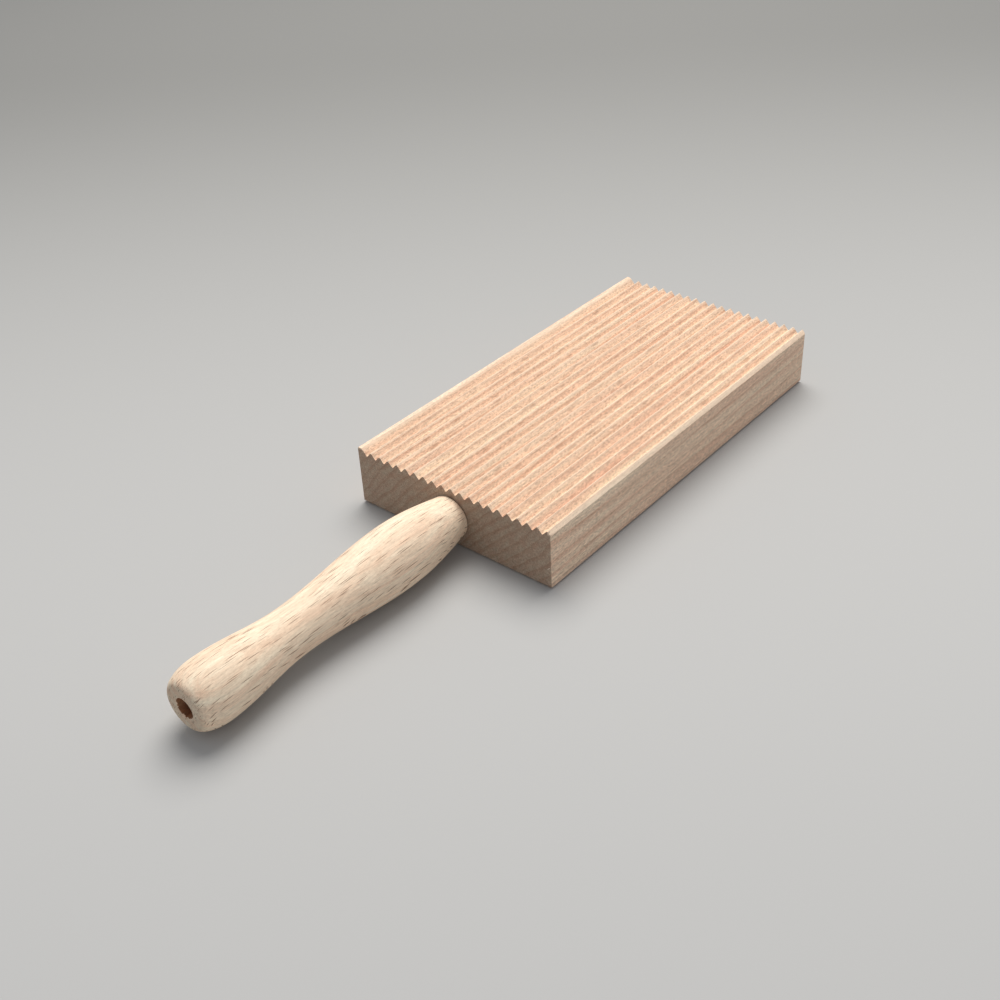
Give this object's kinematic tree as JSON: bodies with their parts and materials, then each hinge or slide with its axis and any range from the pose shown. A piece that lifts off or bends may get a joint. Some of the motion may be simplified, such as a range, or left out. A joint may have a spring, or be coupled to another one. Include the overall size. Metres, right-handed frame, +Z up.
{
  "type": "gnocchi board",
  "caption": "Rectangular grooved wooden block with a turned wooden handle on one end, for rolling ridges into gnocchi and other small pasta.",
  "frame": {"origin": "centre of the flat underside of the grooved block", "axes": "+X across the grooves, +Y along the grooves and away from the handle, +Z up through the grooved face"},
  "size_m": [0.08, 0.262, 0.022],
  "materials": {
    "board_beech": "bare steamed beech, planed and grooved, unfinished",
    "handle_beech": "bare pale beech, turned and sanded, unfinished",
    "dowel_beech": "bare beech dowel rod, pressed flutes"
  },
  "bodies": {
    "root": {"board": "board_beech", "handle": "handle_beech", "dowel_pin": "dowel_beech"}
  },
  "joints": []
}
